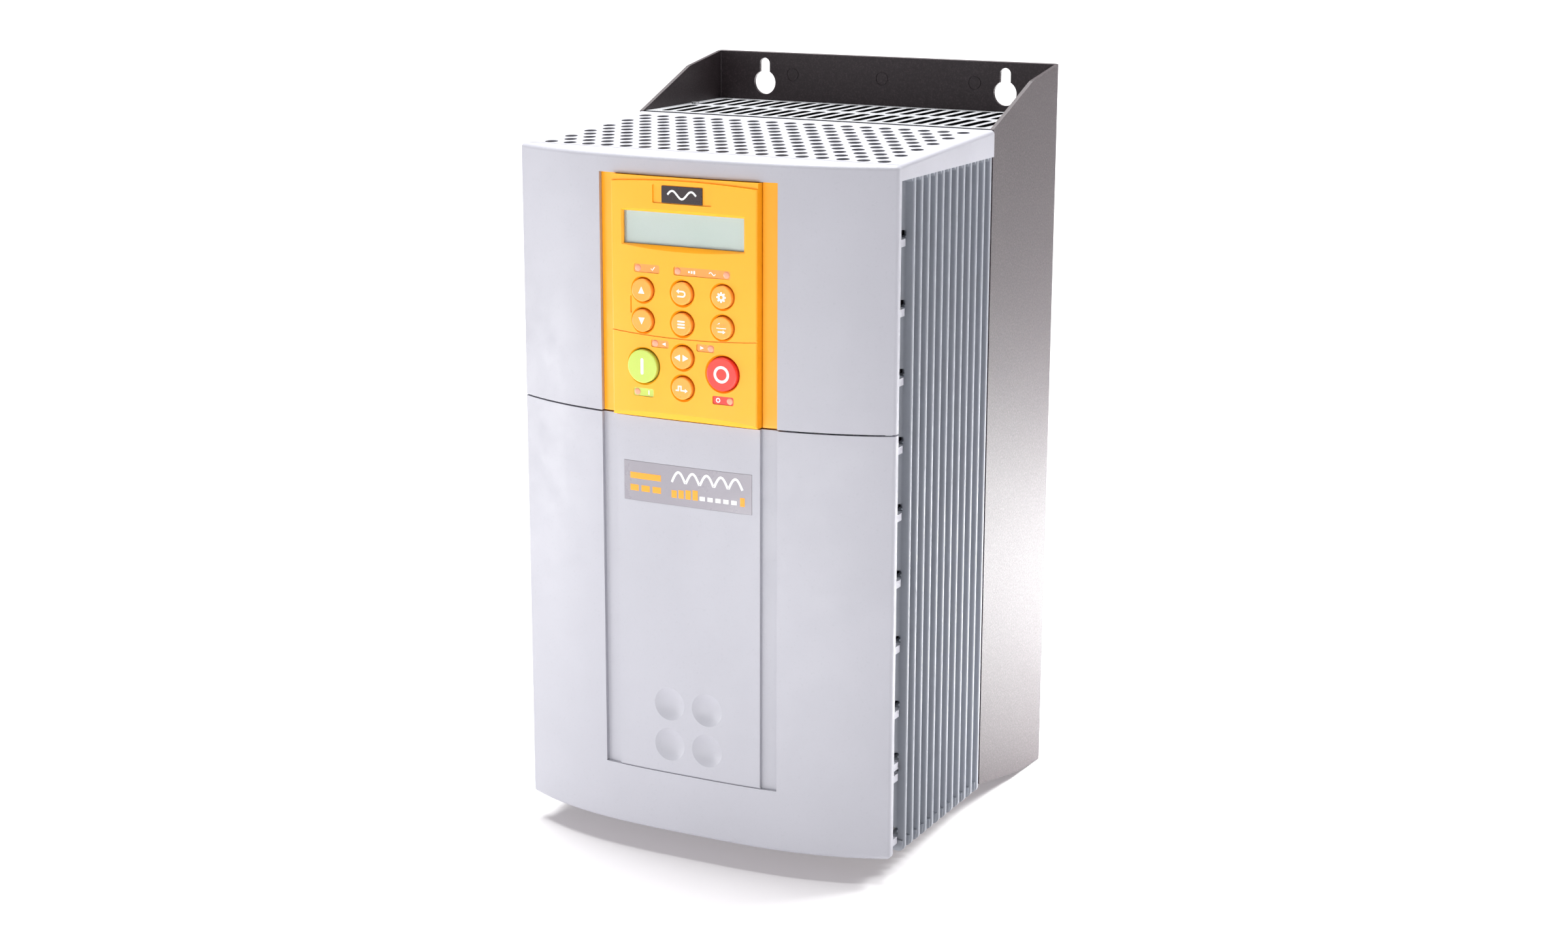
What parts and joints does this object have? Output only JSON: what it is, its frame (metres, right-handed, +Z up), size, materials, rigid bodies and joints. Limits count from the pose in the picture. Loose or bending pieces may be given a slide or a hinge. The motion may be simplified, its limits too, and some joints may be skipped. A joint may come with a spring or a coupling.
{
  "type": "variable speed motor drive",
  "caption": "Wall-mounted variable speed motor drive: bowed grey covers, plug-in orange keypad with display, ribbed sides, vented top and folded steel bracket with fan-cooled heatsink.",
  "frame": {"origin": "middle of the outline on the surface that the drive stands on", "axes": "+X to the right seen from the front, -Y towards the person in front, +Z up; the wall face looks along +Y"},
  "size_m": [0.2, 0.22, 0.375],
  "materials": {
    "bracket_paint": "fine textured powder coat",
    "zinc_steel": "zinc plated",
    "bright_steel": "nickel plated",
    "heatsink_aluminium": "extruded",
    "grille_metal": "satin light grey paint",
    "black_plastic": "moulded",
    "panel_plastic": "moulded satin",
    "cover_plastic": "fine satin grain",
    "orange_plastic": "fine satin grain",
    "badge_film": "printed film",
    "black_rubber": "moulded",
    "silicone_rubber": "translucent silicone",
    "yellow_brass": "machined",
    "copper_bar": "tinned copper colour",
    "module_plastic": "glass filled",
    "terminal_plastic": "moulded",
    "clear_plastic": "clear polycarbonate",
    "board_laminate": "solder mask",
    "capacitor_plastic": "potted box",
    "green_terminal": "moulded",
    "ribbon_grey": "flat cable",
    "lcd_glass": "pale green grey display",
    "amber_label": "translucent",
    "amber_key": "translucent satin",
    "green_key": "translucent satin",
    "red_key": "translucent satin",
    "dark_plate": "printed"
  },
  "bodies": {
    "drive": {"board_standoffs": "bright_steel", "busbars_ac": "copper_bar", "busbars_dc": "copper_bar", "cable_grommets": "black_rubber", "case_screws": "bright_steel", "chassis_plate": "zinc_steel", "control_board": "board_laminate", "control_chips": "black_plastic", "control_terminals": "green_terminal", "control_tray": "black_plastic", "current_transformers": "black_plastic", "duct_top_grille": "grille_metal", "earth_studs": "yellow_brass", "fan_guards": "bright_steel", "fan_left_frame": "black_plastic", "fan_right_frame": "black_plastic", "fan_screws": "bright_steel", "fan_tray": "zinc_steel", "gland_plate": "zinc_steel", "heatsink": "heatsink_aluminium", "keypad_socket": "black_plastic", "keypad_surround": "orange_plastic", "mounting_bracket": "bracket_paint", "power_board": "board_laminate", "power_terminal_block": "terminal_plastic", "power_terminal_screws": "bright_steel", "power_terminal_shield": "clear_plastic", "pulse_transformers": "black_plastic", "ribbon_cable": "ribbon_grey", "side_panel_left": "panel_plastic", "side_panel_right": "panel_plastic", "snubber_capacitors": "capacitor_plastic", "thyristor_modules": "module_plastic", "top_vent_panel": "cover_plastic", "upper_front_cover": "cover_plastic"},
    "keypad": {"keypad_front_shell": "orange_plastic", "keypad_back_shell": "orange_plastic", "keypad_plug": "black_plastic", "keypad_lens": "clear_plastic", "lcd_module": "lcd_glass", "keypad_board": "board_laminate", "keymat": "silicone_rubber", "label_windows_amber": "amber_label", "label_window_green": "green_key", "label_window_red": "red_key", "keypad_nameplate": "dark_plate"},
    "terminal_cover": {"lower_front_cover": "cover_plastic", "badge_plate": "badge_film"},
    "fan_left_impeller": {"fan_left_rotor": "black_plastic"},
    "fan_right_impeller": {"fan_right_rotor": "black_plastic"},
    "key_up": {"key_up": "amber_key"},
    "key_escape": {"key_escape": "amber_key"},
    "key_program": {"key_program": "amber_key"},
    "key_down": {"key_down": "amber_key"},
    "key_menu": {"key_menu": "amber_key"},
    "key_local_remote": {"key_local_remote": "amber_key"},
    "key_direction": {"key_direction": "amber_key"},
    "key_jog": {"key_jog": "amber_key"},
    "key_start": {"key_start": "green_key"},
    "key_stop": {"key_stop": "red_key"}
  },
  "joints": [
    {"name": "terminal_cover_pull", "type": "slide", "parent": "drive", "child": "terminal_cover", "axis": [0, -1, 0], "range_m": [0, 0.06]},
    {"name": "keypad_pull", "type": "slide", "parent": "drive", "child": "keypad", "axis": [0, -1, 0], "range_m": [0, 0.03]},
    {"name": "fan_left_spin", "type": "hinge", "parent": "drive", "child": "fan_left_impeller", "pos_m": [-0.045, 0.0665, 0.03], "axis": [0, 0, 1], "continuous": true},
    {"name": "fan_right_spin", "type": "hinge", "parent": "drive", "child": "fan_right_impeller", "pos_m": [0.045, 0.0665, 0.03], "axis": [0, 0, 1], "continuous": true},
    {"name": "key_up_press", "type": "slide", "parent": "keypad", "child": "key_up", "axis": [0, 1, 0], "range_m": [0, 0.0012], "stiffness_N_per_m": 700},
    {"name": "key_escape_press", "type": "slide", "parent": "keypad", "child": "key_escape", "axis": [0, 1, 0], "range_m": [0, 0.0012], "stiffness_N_per_m": 700},
    {"name": "key_program_press", "type": "slide", "parent": "keypad", "child": "key_program", "axis": [0, 1, 0], "range_m": [0, 0.0012], "stiffness_N_per_m": 700},
    {"name": "key_down_press", "type": "slide", "parent": "keypad", "child": "key_down", "axis": [0, 1, 0], "range_m": [0, 0.0012], "stiffness_N_per_m": 700},
    {"name": "key_menu_press", "type": "slide", "parent": "keypad", "child": "key_menu", "axis": [0, 1, 0], "range_m": [0, 0.0012], "stiffness_N_per_m": 700},
    {"name": "key_local_remote_press", "type": "slide", "parent": "keypad", "child": "key_local_remote", "axis": [0, 1, 0], "range_m": [0, 0.0012], "stiffness_N_per_m": 700},
    {"name": "key_direction_press", "type": "slide", "parent": "keypad", "child": "key_direction", "axis": [0, 1, 0], "range_m": [0, 0.0012], "stiffness_N_per_m": 700},
    {"name": "key_jog_press", "type": "slide", "parent": "keypad", "child": "key_jog", "axis": [0, 1, 0], "range_m": [0, 0.0012], "stiffness_N_per_m": 700},
    {"name": "key_start_press", "type": "slide", "parent": "keypad", "child": "key_start", "axis": [0, 1, 0], "range_m": [0, 0.0012], "stiffness_N_per_m": 700},
    {"name": "key_stop_press", "type": "slide", "parent": "keypad", "child": "key_stop", "axis": [0, 1, 0], "range_m": [0, 0.0012], "stiffness_N_per_m": 700}
  ]
}
